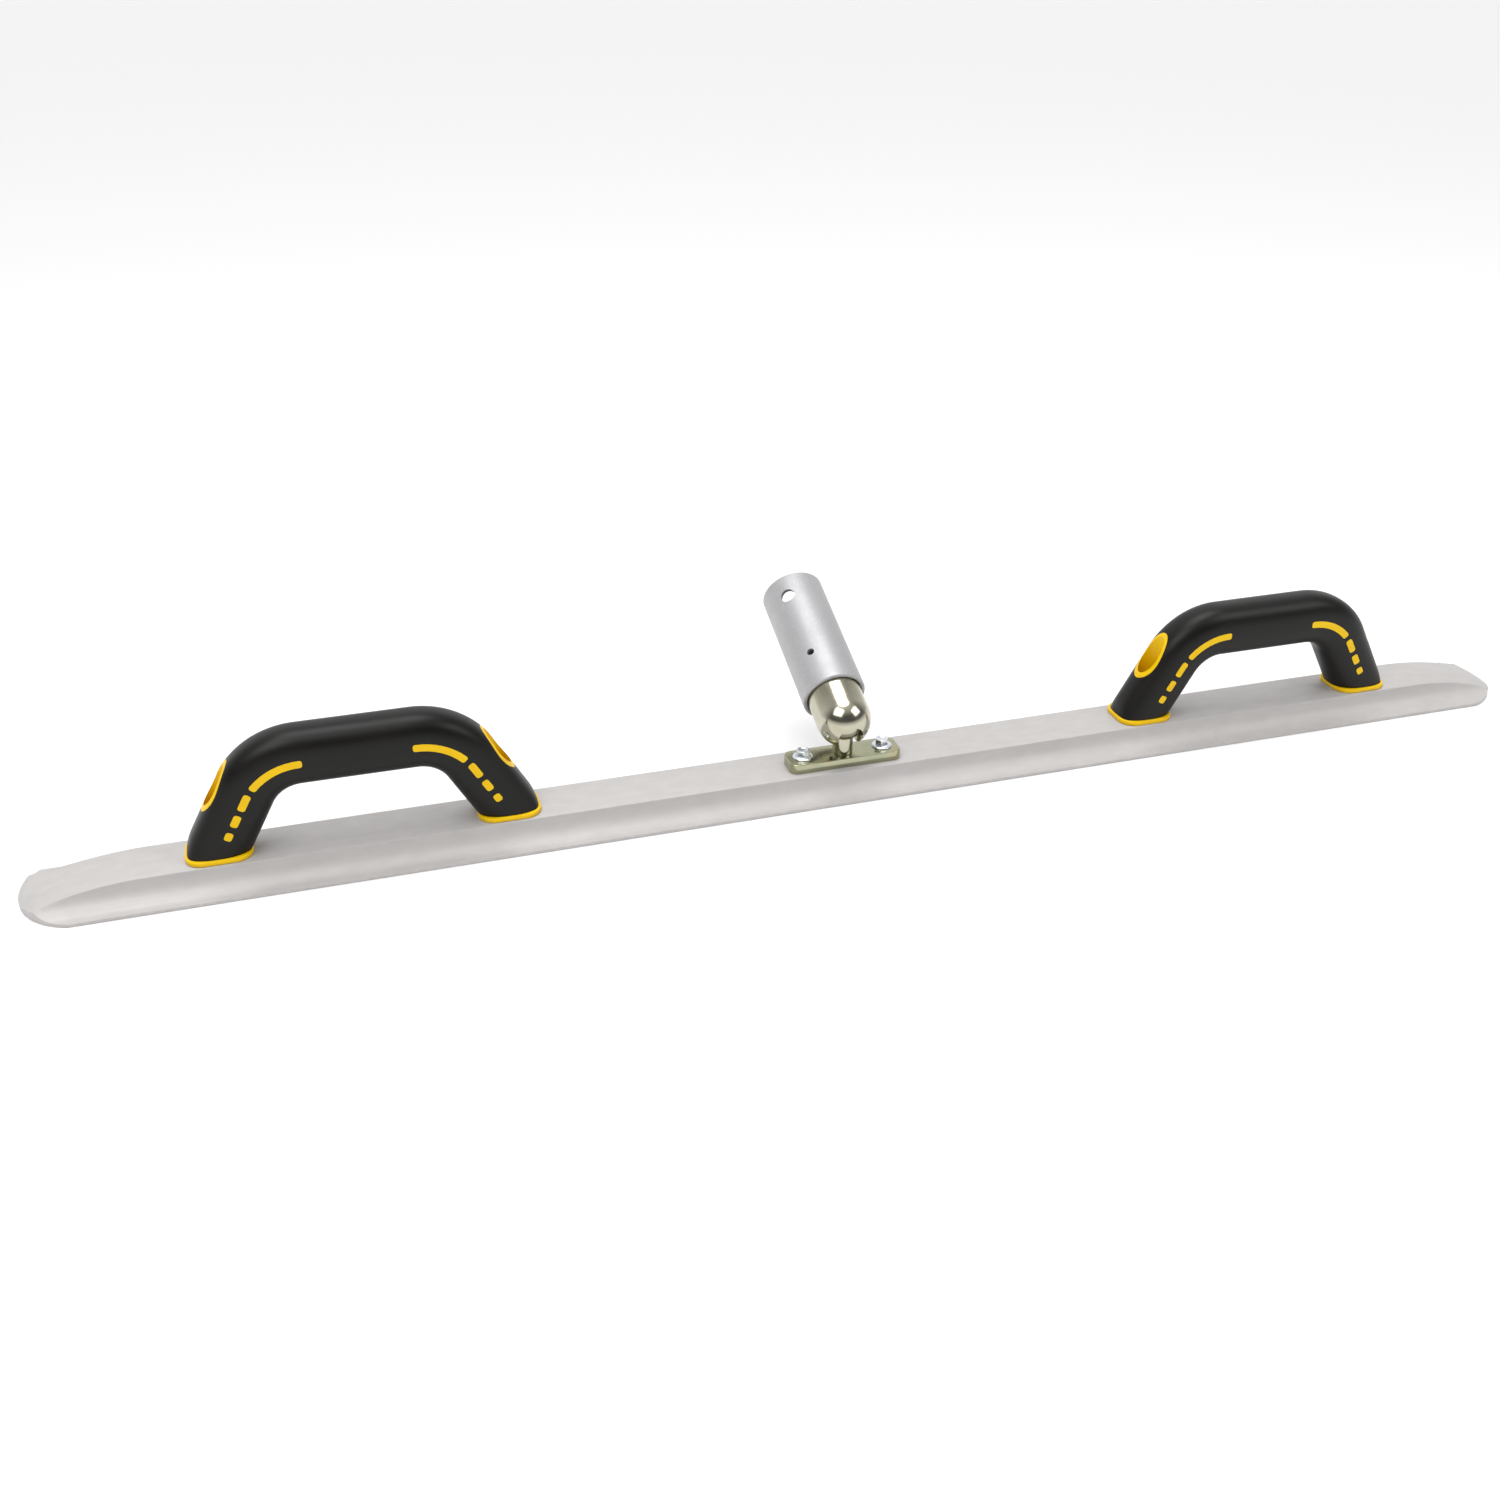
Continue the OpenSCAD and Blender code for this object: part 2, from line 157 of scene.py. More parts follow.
def fillet(corners, closed=True, steps=5):
    """The outline through (a, b, radius) corners, each rounded by its own radius."""
    outline = []
    count = len(corners)
    for i, (a, b, radius) in enumerate(corners):
        here = Vector((a, b))
        if radius == 0 or (not closed and i in (0, count - 1)):
            outline.append((a, b))
            continue
        before = Vector(corners[i - 1][:2]) - here
        after = Vector(corners[(i + 1) % count][:2]) - here
        half = before.angle(after) / 2
        setback = radius / tan(half)
        start = here + before.normalized() * setback
        end = here + after.normalized() * setback
        centre = here + (before.normalized() + after.normalized()).normalized() * radius / sin(half)
        for k in range(steps + 1):
            point = start.lerp(end, k / steps) - centre
            outline.append(tuple(centre + point.normalized() * radius))
    return outline


def stack(rings, loop=False):
    """A closed mesh through rings of equal counts; loop joins the last ring to the first."""
    mesh = bmesh.new()
    rows = [[mesh.verts.new(p) for p in ring] for ring in rings]
    count = len(rows[0])
    pairs = list(zip(rows, rows[1:])) + ([(rows[-1], rows[0])] if loop else [])
    for low, high in pairs:
        for i in range(count):
            j = (i + 1) % count
            mesh.faces.new((low[i], low[j], high[j], high[i]))
    if not loop:
        mesh.faces.new(rows[0][::-1])
        mesh.faces.new(rows[-1])
    bmesh.ops.remove_doubles(mesh, verts=mesh.verts, dist=1e-7)
    bmesh.ops.dissolve_degenerate(mesh, edges=mesh.edges, dist=1e-7)
    bmesh.ops.recalc_face_normals(mesh, faces=mesh.faces)
    return mesh


def lathe(outline, steps=96, closed=False):
    """A solid turned round Z from (radius, z) points; an open outline is capped at both ends."""
    return stack([circle(r, z, steps) for r, z in outline], loop=closed)


def lathe_to_axis(outline, steps=128):
    """A solid turned round Z from a profile that starts and ends on the axis."""
    mesh = bmesh.new()
    points = [mesh.verts.new((r, 0, z)) for r, z in outline]
    edges = [mesh.edges.new(pair) for pair in zip(points, points[1:])]
    bmesh.ops.spin(mesh, geom=points + edges, cent=(0, 0, 0), axis=(0, 0, 1), angle=2 * pi,
                   steps=steps, use_merge=True)
    bmesh.ops.remove_doubles(mesh, verts=mesh.verts, dist=1e-6)
    bmesh.ops.recalc_face_normals(mesh, faces=mesh.faces)
    return mesh


def rounded_rectangle(length, width, corner, z, steps=10):
    """A ring round a rectangle with round corners."""
    ring = []
    for k, (sx, sy) in enumerate([(1, 1), (-1, 1), (-1, -1), (1, -1)]):
        for i in range(steps + 1):
            a = pi / 2 * (k + i / steps)
            x = sx * (length / 2 - corner) + corner * cos(a)
            y = sy * (width / 2 - corner) + corner * sin(a)
            ring.append((x, y, z))
    return ring


def slab(length, width, corner, thickness, edge):
    """A plate with round corners and rounded top and bottom edges."""
    steps = 4
    turns = [pi / 2 * k / steps for k in range(steps + 1)]
    insets = [(edge * (1 - sin(t)), edge * (1 - cos(t))) for t in turns]
    levels = insets + [(inset, thickness - z) for inset, z in reversed(insets)]
    return stack([rounded_rectangle(length - 2 * i, width - 2 * i, corner - i, z) for i, z in levels])


def as_object(name, mesh, where=Matrix.Identity(4)):
    """Turns a bmesh into an object whose place is in its mesh."""
    data = bpy.data.meshes.new(name)
    mesh.transform(where)
    mesh.to_mesh(data)
    mesh.free()
    piece = bpy.data.objects.new(name, data)
    bpy.context.scene.collection.objects.link(piece)
    return piece


def bake(piece):
    """Applies every modifier to the mesh."""
    bpy.context.view_layer.update()
    shown = piece.evaluated_get(bpy.context.evaluated_depsgraph_get())
    data = bpy.data.meshes.new_from_object(shown)
    piece.modifiers.clear()
    piece.data = data


def combine(piece, operation, tools):
    """Boolean of a piece with other objects, which are used up."""
    for tool in tools:
        change = piece.modifiers.new("combine", "BOOLEAN")
        change.operation = operation
        change.solver = "EXACT"
        change.object = tool
    bake(piece)
    for tool in tools:
        bpy.data.objects.remove(tool)


def join(pieces):
    """One object from several."""
    whole = bmesh.new()
    for piece in pieces:
        whole.from_mesh(piece.data)
    name = pieces[0].name
    for piece in pieces:
        bpy.data.objects.remove(piece)
    return as_object(name, whole)


def copy_to(source, name, x):
    """A copy of a piece, moved along the blade."""
    data = source.data.copy()
    data.transform(Matrix.Translation((x, 0, 0)))
    piece = bpy.data.objects.new(name, data)
    bpy.context.scene.collection.objects.link(piece)
    return piece


def bevel(piece, width, segments=2, angle=40):
    """Rounds every edge that is sharper than the angle."""
    change = piece.modifiers.new("bevel", "BEVEL")
    change.width = width
    change.segments = segments
    change.limit_method = "ANGLE"
    change.angle_limit = radians(angle)
    change.use_clamp_overlap = True
    bake(piece)


def smooth(piece, angle=38):
    """Smooth shading, with creases where faces meet at more than the angle."""
    piece.data.shade_smooth()
    piece.data.set_sharp_from_angle(angle=radians(angle))


def place(piece, body, slot, material, *nodes):
    """Gives a piece its material and body, and hides the CAD nodes that it stands for; slot is not used.
    """
    smooth(piece)
    piece.data.materials.clear()
    piece.data.materials.append(material)
    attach(piece, body)
    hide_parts(*nodes)
    return piece


# -------------------------------------------------------------- materials


def map_range(nodes, links, value, source, target):
    """A node that maps a value from one (low, high) pair onto another."""
    node = nodes.new("ShaderNodeMapRange")
    for name, number in zip(("From Min", "From Max", "To Min", "To Max"), (*source, *target)):
        node.inputs[name].default_value = number
    links.new(value, node.inputs["Value"])
    return node.outputs["Result"]


class Surface:
    """A Principled material and the nodes that feed it."""

    def __init__(self, name, **constants):
        self.material = bpy.data.materials.new(name)
        self.material.use_nodes = True
        self.nodes = self.material.node_tree.nodes
        self.links = self.material.node_tree.links
        self.shader = self.nodes["Principled BSDF"]
        for socket, value in constants.items():
            self.shader.inputs[socket.replace("_", " ")].default_value = value
        self.place = self.nodes.new("ShaderNodeTexCoord").outputs["Object"]
        self.bumps = None

    def noise(self, stretch, detail=4.0, rough=0.55):
        """Noise over the object's own space; stretch is its cells per metre on each axis."""
        mapping = self.nodes.new("ShaderNodeMapping")
        mapping.inputs["Scale"].default_value = stretch
        texture = self.nodes.new("ShaderNodeTexNoise")
        texture.inputs["Scale"].default_value = 1.0
        texture.inputs["Detail"].default_value = detail
        texture.inputs["Roughness"].default_value = rough
        self.links.new(self.place, mapping.inputs["Vector"])
        self.links.new(mapping.outputs["Vector"], texture.inputs["Vector"])
        return texture.outputs["Fac"]

    def ramp(self, value, stops):
        """A colour ramp of (position, colour) stops."""
        ramp = self.nodes.new("ShaderNodeValToRGB")
        elements = ramp.color_ramp.elements
        while len(elements) < len(stops):
            elements.new(0.5)
        for element, (position, colour) in zip(elements, stops):
            element.position = position
            element.color = (*colour, 1.0)
        self.links.new(value, ramp.inputs["Fac"])
        return ramp.outputs["Color"]

    def span(self, value, low, high, from_low=0.3, from_high=0.7):
        """Maps a value onto a range."""
        return map_range(self.nodes, self.links, value, (from_low, from_high), (low, high))

    def colour(self, output):
        self.links.new(output, self.shader.inputs["Base Color"])

    def roughness(self, output):
        self.links.new(output, self.shader.inputs["Roughness"])

    def bump(self, value, depth):
        """Adds a bump of the given depth in metres on top of the earlier ones."""
        bump = self.nodes.new("ShaderNodeBump")
        bump.inputs["Strength"].default_value = 1.0
        bump.inputs["Distance"].default_value = depth
        self.links.new(value, bump.inputs["Height"])
        if self.bumps:
            self.links.new(self.bumps, bump.inputs["Normal"])
        self.bumps = bump.outputs["Normal"]
        self.links.new(self.bumps, self.shader.inputs["Normal"])


def magnesium():
    """Mill-finished extrusion: lengthwise grain, faint mottling."""
    surface = Surface("magnesium", Metallic=0.25, Specular_IOR_Level=0.3)
    grain = surface.noise((6, 900, 900), 3)
    mottle = surface.noise((60, 110, 110), 5)
    surface.colour(surface.ramp(mottle, [(0.3, (0.475, 0.460, 0.452)), (0.7, (0.515, 0.498, 0.488))]))
    surface.roughness(surface.span(grain, 0.52, 0.64))
    surface.bump(grain, 0.000012)
    surface.bump(mottle, 0.00002)
    return surface.material


def black_rubber():
    """Soft satin overmould with a fine moulded texture."""
    surface = Surface("black_rubber", Specular_IOR_Level=0.26)
    patch = surface.noise((25, 25, 25), 3)
    pores = surface.noise((2600, 2600, 2600), 2)
    stops = [(0.3, (0.0026, 0.0023, 0.0018)), (0.7, (0.0044, 0.0038, 0.0030))]
    surface.colour(surface.ramp(patch, stops))
    surface.roughness(surface.span(patch, 0.36, 0.42))
    surface.bump(pores, 0.00003)
    return surface.material


def yellow_plastic():
    """Moulded, slightly translucent yellow plastic."""
    surface = Surface("yellow_plastic", Subsurface_Weight=0.08, Subsurface_Scale=0.002,
                      Specular_IOR_Level=0.2)
    flow = surface.noise((40, 40, 90), 3)
    texture = surface.noise((1800, 1800, 1800), 2)
    surface.colour(surface.ramp(flow, [(0.3, (0.78, 0.48, 0.0)), (0.7, (0.84, 0.53, 0.001))]))
    surface.roughness(surface.span(flow, 0.30, 0.42))
    surface.bump(texture, 0.00002)
    return surface.material


def yellow_zinc():
    """Yellow zinc plate: olive with drifting green and amber tints."""
    surface = Surface("yellow_zinc", Metallic=1.0)
    tint = surface.noise((45, 60, 60), 3)
    fine = surface.noise((900, 900, 900), 3)
    stops = [(0.30, (0.33, 0.35, 0.24)), (0.50, (0.40, 0.40, 0.27)), (0.70, (0.42, 0.37, 0.22))]
    surface.colour(surface.ramp(tint, stops))
    surface.roughness(surface.span(fine, 0.16, 0.22))
    surface.bump(fine, 0.000008)
    return surface.material


def plated_polish():
    """Polished steel under thin, faintly golden plate, with turning marks."""
    surface = Surface("plated_polish", Metallic=1.0)
    tint = surface.noise((50, 50, 50), 3)
    marks = surface.noise((500, 500, 1400), 2)
    surface.colour(surface.ramp(tint, [(0.3, (0.44, 0.42, 0.31)), (0.7, (0.52, 0.50, 0.41))]))
    surface.roughness(surface.span(marks, 0.13, 0.20))
    surface.bump(marks, 0.000003)
    return surface.material


def blue_zinc():
    """Bright zinc plate with a bluish cast."""
    surface = Surface("blue_zinc", Metallic=1.0)
    tint = surface.noise((160, 160, 160), 3)
    fine = surface.noise((1500, 1500, 1500), 2)
    surface.colour(surface.ramp(tint, [(0.3, (0.66, 0.71, 0.80)), (0.7, (0.80, 0.82, 0.84))]))
    surface.roughness(surface.span(fine, 0.20, 0.32))
    surface.bump(fine, 0.000008)
    return surface.material


def aluminium_tube():
    """Tumbled aluminium: a fine satin grain with small dark pits."""
    surface = Surface("aluminium_tube", Metallic=0.65, Specular_IOR_Level=0.3)
    grain = surface.noise((1500, 1500, 1500), 4, 0.7)
    cloud = surface.noise((60, 60, 60), 4)
    surface.colour(surface.ramp(grain, [(0.30, (0.36, 0.355, 0.365)), (0.60, (0.52, 0.515, 0.525))]))
    surface.roughness(surface.span(cloud, 0.46, 0.56))
    surface.bump(grain, 0.00003)
    return surface.material


def plain_steel():
    """Unplated steel of the hidden spring, plug and rivet."""
    surface = Surface("plain_steel", Metallic=1.0)
    fine = surface.noise((700, 700, 700), 3)
    surface.colour(surface.ramp(fine, [(0.3, (0.33, 0.32, 0.31)), (0.7, (0.45, 0.44, 0.43))]))
    surface.roughness(surface.span(fine, 0.28, 0.45))
    surface.bump(fine, 0.00001)
    return surface.material


def black_steel():
    """Black oxide of the set screw."""
    surface = Surface("black_steel", Metallic=0.6)
    fine = surface.noise((900, 900, 900), 3)
    surface.colour(surface.ramp(fine, [(0.3, (0.035, 0.035, 0.038)), (0.7, (0.07, 0.07, 0.072))]))
    surface.roughness(surface.span(fine, 0.35, 0.50))
    surface.bump(fine, 0.00001)
    return surface.material


def nylon():
    """Off-white nylon of the ball's seat."""
    surface = Surface("nylon", Subsurface_Weight=0.1, Subsurface_Scale=0.002)
    flow = surface.noise((120, 120, 120), 3)
    surface.colour(surface.ramp(flow, [(0.3, (0.74, 0.72, 0.64)), (0.7, (0.82, 0.80, 0.73))]))
    surface.roughness(surface.span(flow, 0.35, 0.48))
    surface.bump(flow, 0.00002)
    return surface.material


MAGNESIUM, RUBBER, YELLOW = magnesium(), black_rubber(), yellow_plastic()
YELLOW_ZINC, POLISH, BLUE_ZINC = yellow_zinc(), plated_polish(), blue_zinc()
TUBE, STEEL, BLACK_STEEL, NYLON = aluminium_tube(), plain_steel(), black_steel(), nylon()

# ------------------------------------------------------------------ blade


def blade_section(x, low, high, top):
    """A ring round the blade at x, between the outline's two sides and under the ramp."""
    steps = 14
    reach = RIB_HALF + FILLET_R
    turn = acos(max(0.0, (RIB_H - top) / FILLET_R))
    turns = [turn * k / steps for k in range(steps + 1)]
    flank = [(reach - FILLET_R * sin(t), RIB_H - FILLET_R * cos(t)) for t in turns]
    half = [(BLADE_EDGE_Y, EDGE_T)] + flank
    line = [(-y, z) for y, z in half] + half[::-1]

    def height(y):
        """The section's height where the outline cuts it."""
        inward = reach - abs(y)
        if inward <= 0:
            return EDGE_T
        if inward >= FILLET_R:
            return top
        return min(top, RIB_H - sqrt(FILLET_R**2 - inward**2))

    ring = [(x, high, 0.0), (x, low, 0.0)]
    for y, z in line:
        clipped = min(max(y, low), high)
        ring.append((x, clipped, z if clipped == y else height(clipped)))
    return ring


def blade_stations():
    """(x, low y, high y, top) of each ring from the start of the right ramp to the tip."""
    end_x = BLADE_HALF - END_R
    ramp_x = BLADE_HALF - RAMP_L
    straight_steps = 10
    straight = [ramp_x + (end_x - ramp_x) * k / straight_steps for k in range(straight_steps)]
    stations = [(x, -BLADE_EDGE_Y, BLADE_EDGE_Y) for x in straight]
    corners = [acos((BLADE_EDGE_Y - END_SHIFT) / END_R), acos((BLADE_EDGE_Y + END_SHIFT) / END_R)]
    for a in sorted([radians(3 * k) for k in range(30)] + corners):
        low = max(-BLADE_EDGE_Y, END_SHIFT - END_R * cos(a))
        high = min(BLADE_EDGE_Y, END_SHIFT + END_R * cos(a))
        stations.append((end_x + END_R * sin(a), low, high))
    return [(x, low, high, RIB_H - RAMP_R + sqrt(RAMP_R**2 - (x - ramp_x) ** 2))
            for x, low, high in stations]


def make_blade():
    """Extruded blade with a ramped, rounded end at each side."""
    half = blade_stations()
    left = [blade_section(-x, low, high, top) for x, low, high, top in reversed(half)]
    right = [blade_section(x, low, high, top) for x, low, high, top in half]
    blade = as_object("blade_extrusion", stack(left + right))
    spots = [(side * HANDLE_X + leg * WELL_X, 0.0) for side in (-1, 1) for leg in (-1, 1)]
    spots += [(side * PLATE_SCREW_X, BRACKET_Y) for side in (-1, 1)]
    bores = []
    for x, y in spots:
        tube = lathe([(SCREW_HOLE_R, RIB_H - SCREW_DEPTH), (SCREW_HOLE_R, RIB_H + CUT_PAST)], 24)
        bores.append(as_object("bore", tube, Matrix.Translation((x, y, 0))))
    bevel(blade, BLADE_BEVEL)
    combine(blade, "DIFFERENCE", bores)
    return place(blade, "float", "magnesium", MAGNESIUM, "blade")


# ---------------------------------------------------------------- handles


def oval(height, width, steps=64):
    """Points of a full-sided oval, as offsets outwards and across."""
    points = []
    for i in range(steps):
        c, s = cos(2 * pi * i / steps), sin(2 * pi * i / steps)
        outward = height / 2 * abs(c) ** SECTION_POWER * (1 if c >= 0 else -1)
        across = width / 2 * abs(s) ** SECTION_POWER * (1 if s >= 0 else -1)
        points.append((outward, across))
    return points


def half_width(outward):
    """Half of the grip's width at a distance from its centreline."""
    c = (abs(outward) * 2 / GRIP_H) ** (1 / SECTION_POWER)
    return GRIP_W / 2 * sqrt(max(0.0, 1 - c * c)) ** SECTION_POWER


def on_path(s, outward, across):
    """A point beside the right half of the centreline, s metres from the bar's middle."""
    if s <= BAR_HALF:
        return Vector((s, across, BAR_Z + outward))
    turn = min((s - BAR_HALF) / SHOULDER_R, LEG_TURN)
    reach = SHOULDER_R + outward
    point = Vector((BAR_HALF + reach * sin(turn), across, SHOULDER_Z + reach * cos(turn)))
    return point + max(0.0, s - LEG_START) * DOWN_LEG


def ease_limit(x, limit, blend=0.006):
    """Holds x under a limit, with a soft turn on the way to it."""
    if x <= limit - blend:
        return x
    if x >= limit + blend:
        return limit
    return limit - (limit + blend - x) ** 2 / (4 * blend)


def sweep_rings(height, width, end_z, limit=None):
    """Rings of the handle's body from the left foot over the bar to the right foot."""
    section = oval(height, width)
    bar_steps, shoulder_steps, leg_steps = 8, 22, 20
    along = [BAR_HALF * k / bar_steps for k in range(1, bar_steps + 1)]
    along += [BAR_HALF + SHOULDER_R * LEG_TURN * k / shoulder_steps for k in range(1, shoulder_steps + 1)]
    rings = [[on_path(s, o, a) for o, a in section] for s in along]
    for k in range(1, leg_steps + 1):
        ring = []
        for o, a in section:
            start = on_path(LEG_START, o, a)
            run = (start.z - end_z) / cos(LEG_LEAN)
            ring.append(start + k / leg_steps * run * DOWN_LEG)
        rings.append(ring)
    if limit:
        rings = [[Vector((ease_limit(p.x, limit), p.y, p.z)) for p in ring] for ring in rings]
    mirrored = [[Vector((-p.x, p.y, p.z)) for p in ring] for ring in reversed(rings)]
    middle = [on_path(0.0, o, a) for o, a in section]
    return mirrored + [middle] + rings


def stripe(start, end, side, proud):
    """One inlaid stripe along the path, with rounded ends, on the front or back side."""
    corner, length = STRIPE_CORNER, end - start
    round_steps, straight_steps, cross_steps = 5, 8, 8
    turns = [corner * (1 - cos(pi / 2 * k / round_steps)) for k in range(round_steps + 1)]
    straight = [corner + (length - 2 * corner) * k / straight_steps for k in range(straight_steps + 1)]
    rings = []
    for d in sorted({*turns, *(length - turn for turn in turns), *straight}):
        near = min(d, length - d, corner)
        half = STRIPE_W / 2 - corner + sqrt(max(0.0, corner**2 - (corner - near) ** 2))
        offsets = [half * (2 * k / cross_steps - 1) for k in range(cross_steps + 1)]
        outer = [on_path(start + d, o, side * (half_width(o) + proud)) for o in offsets]
        inner = [on_path(start + d, o, side * (half_width(o) - STRIPE_DEPTH)) for o in reversed(offsets)]
        rings.append(outer + inner)
    return stack(rings)


def stripe_solids(name, proud):
    """Every stripe of one handle: an arc at each shoulder and the dashes down each leg."""
    spans = [(STRIPE_START, BAR_HALF + SHOULDER_R * (pi / 2 - STRIPE_END))]
    spans += [(LEG_START + start, LEG_START + start + length) for start, length in DASHES]
    shells = []
    for start, end in spans:
        for side in (-1, 1):
            for mirror in (-1, 1):
                mesh = stripe(start, end, side, proud)
                mesh.transform(Matrix.Diagonal((mirror, 1, 1, 1)))
                bmesh.ops.recalc_face_normals(mesh, faces=mesh.faces)
                shells.append(as_object(name, mesh))
    return join(shells)


def well_cylinders(r, low, high):
    """A vertical cylinder at each screw well."""
    tubes = []
    for side in (-1, 1):
        mesh = lathe([(r, low), (r, high)], 64)
        tubes.append(as_object("tube", mesh, Matrix.Translation((side * WELL_X, 0, 0))))
    return tubes


def make_grip_mesh():
    """Rubber overmould: a thick oval tube, open at the wells and let in for the stripes."""
    past_skin = 0.002
    outer = sweep_rings(GRIP_H, GRIP_W, FOOT_TOP, LEG_LIMIT)
    inner = sweep_rings(CORE_H, CORE_W, FOOT_TOP)
    grip = as_object("grip", stack(outer + inner[::-1], loop=True))
    combine(grip, "DIFFERENCE", well_cylinders(WELL_R + WELL_WALL, FOOT_TOP - past_skin, ABOVE_GRIP))
    combine(grip, "DIFFERENCE", [stripe_solids("stripes", past_skin)])
    return grip


def make_core_mesh():
    """Hard core: inner bar, feet, screw wells and stripes in one moulding."""
    clearance, lap = 0.00002, 0.001
    bar = sweep_rings(CORE_H - clearance, CORE_W - clearance, FOOT_TOP - lap)
    core = as_object("core", stack(bar))
    body = as_object("body", stack(sweep_rings(GRIP_H, GRIP_W, FOOT_TOP - lap, LEG_LIMIT)))
    tubes = join(well_cylinders(WELL_R + WELL_WALL - GAP, FOOT_TOP - 1.5 * lap, ABOVE_GRIP))
    combine(tubes, "INTERSECT", [body])
    feet = []
    for side in (-1, 1):
        mesh = slab(FOOT_L, FOOT_W, FOOT_CORNER, FOOT_T, FOOT_EDGE)
        feet.append(as_object("foot", mesh, Matrix.Translation((side * FOOT_X, 0, RIB_H))))
    combine(core, "UNION", [tubes] + feet)
    combine(core, "UNION", [stripe_solids("stripes", STRIPE_PROUD)])
    combine(core, "DIFFERENCE", well_cylinders(WELL_R, WELL_FLOOR, ABOVE_GRIP))
    combine(core, "DIFFERENCE", well_cylinders(SCREW_HOLE_R, RIB_H - CUT_PAST, WELL_FLOOR + CUT_PAST))
    return core


def socket_screw_mesh():
    """A cylinder-head screw with a hexagon socket, seated on its washer."""
    seat = WELL_FLOOR + WASHER_T
    top = seat + HEAD_H
    outline = fillet([(AXIS_R, SCREW_TIP_Z, 0), (0.0016, SCREW_TIP_Z, 0),
                      (SCREW_R, SCREW_TIP_Z + SCREW_TAPER, 0.0003), (SCREW_R, seat, 0),
                      (HEAD_R, seat, 0.0003), (HEAD_R, top, 0.0006), (AXIS_R, top, 0)], closed=False)
    screw = as_object("screw", lathe(outline, 48))
    key = stack([circle(KEY_R, z, 6) for z in (top - KEY_D, top + CUT_PAST)])
    combine(screw, "DIFFERENCE", [as_object("key", key)])
    return screw


def washer_mesh():
    """A flat washer on a well's floor, with rounded edges."""
    low, high = WELL_FLOOR, WELL_FLOOR + WASHER_T
    outline = fillet([(WASHER_BORE, low, 0.0001), (WASHER_R, low, 0.0003),
                      (WASHER_R, high, 0.0005), (WASHER_BORE, high, 0.0003)])
    return as_object("washer", lathe(outline, 64, closed=True))


def make_handles():
    """Both handles from one set of meshes."""
    grip, core = make_grip_mesh(), make_core_mesh()
    washer, screw = washer_mesh(), socket_screw_mesh()
    for name, side in (("left", -1), ("right", 1)):
        x = side * HANDLE_X
        skin = copy_to(grip, f"{name}_rubber_grip", x)
        place(skin, "float", "black_rubber", RUBBER, f"{name}_handle_grip")
        moulding = copy_to(core, f"{name}_moulded_core", x)
        place(moulding, "float", "yellow_plastic", YELLOW, f"{name}_handle_core")
        for leg, out in (("outer", 1), ("inner", -1)):
            stem = f"{name}_handle_{leg}"
            at = x + side * out * WELL_X
            fastener = copy_to(screw, f"{stem}_socket_screw", at)
            place(fastener, "float", "blue_zinc", BLUE_ZINC, f"{stem}_screw")
            disc = copy_to(washer, f"{stem}_flat_washer", at)
            place(disc, "float", "blue_zinc", BLUE_ZINC, f"{stem}_washer")
    for source in (grip, core, washer, screw):
        bpy.data.objects.remove(source)


# ---------------------------------------------------------------- bracket


def make_plate():
    """Plate with its screw holes, the stud's bore and the rivet's pocket."""
    middle = Matrix.Translation((0, BRACKET_Y, RIB_H))
    bar = slab(PLATE_L, PLATE_W, PLATE_CORNER, PLATE_T, PLATE_EDGE)
    plate = as_object("plated_bracket_bar", bar, middle)
    past_top = 0.02
    cuts = [(side * PLATE_SCREW_X, PLATE_HOLE_R, past_top) for side in (-1, 1)]
    cuts += [(0.0, JOURNAL_R + GAP, past_top), (0.0, POCKET_R, POCKET_D)]
    for x, r, high in cuts:
        mesh = lathe([(r, -CUT_PAST), (r, high)], 64)
        combine(plate, "DIFFERENCE", [as_object("bore", mesh, middle @ Matrix.Translation((x, 0, 0)))])
    return place(plate, "float", "yellow_zinc", YELLOW_ZINC, "bracket_plate")


def make_bracket_screws():
    """Hexagon washer-head screws: chamfered hexagon, dished top, domed flange."""
    steps = 96

    def hexagon(limit, z):
        """A hexagon's ring, with its corners turned down to a radius."""
        ring = []
        for i in range(steps):
            a = 2 * pi * i / steps
            r = min(HEX_HALF / cos((a + pi / 6) % (pi / 3) - pi / 6), limit)
            ring.append((r * cos(a), r * sin(a), z))
        return ring

    # (radius, height above the plate) from the tip up to the dish in the head
    tip = SCREW_TIP_Z - PLATE_TOP
    shaft = [(0.0004, tip), (0.0017, tip), (SCREW_R, tip + SCREW_TAPER), (SCREW_R, 0.0)]
    flange = [(0.0076, 0.0), (0.0079, 0.00015), (0.0080, 0.00045), (0.0079, 0.0008),
              (0.0076, 0.00105), (0.0066, 0.00135), (0.0059, 0.0015)]
    head = [(0.0054, 0.0016), (0.0056, 0.0055), (0.00525, 0.0060), (0.0049, 0.0064),
            (0.0045, HEX_H - 0.0001), (0.0042, HEX_H)]
    dish = [(0.0037, HEX_H - 0.0001), (0.0030, HEX_H - 0.0005), (0.0016, HEX_H - 0.00075),
            (AXIS_R, HEX_H - 0.0008)]
    rings = [circle(r, z, steps) for r, z in shaft + flange]
    rings += [hexagon(limit, z) for limit, z in head]
    rings += [circle(r, z, steps) for r, z in dish]
    for name, side in (("left", -1), ("right", 1)):
        turn = Matrix.Rotation(radians(14 + 23 * side), 4, "Z")
        spot = Matrix.Translation((side * PLATE_SCREW_X, BRACKET_Y, PLATE_TOP))
        screw = as_object(f"{name}_hex_washer_screw", stack(rings), spot @ turn)
        place(screw, "float", "blue_zinc", BLUE_ZINC, f"bracket_{name}_screw")


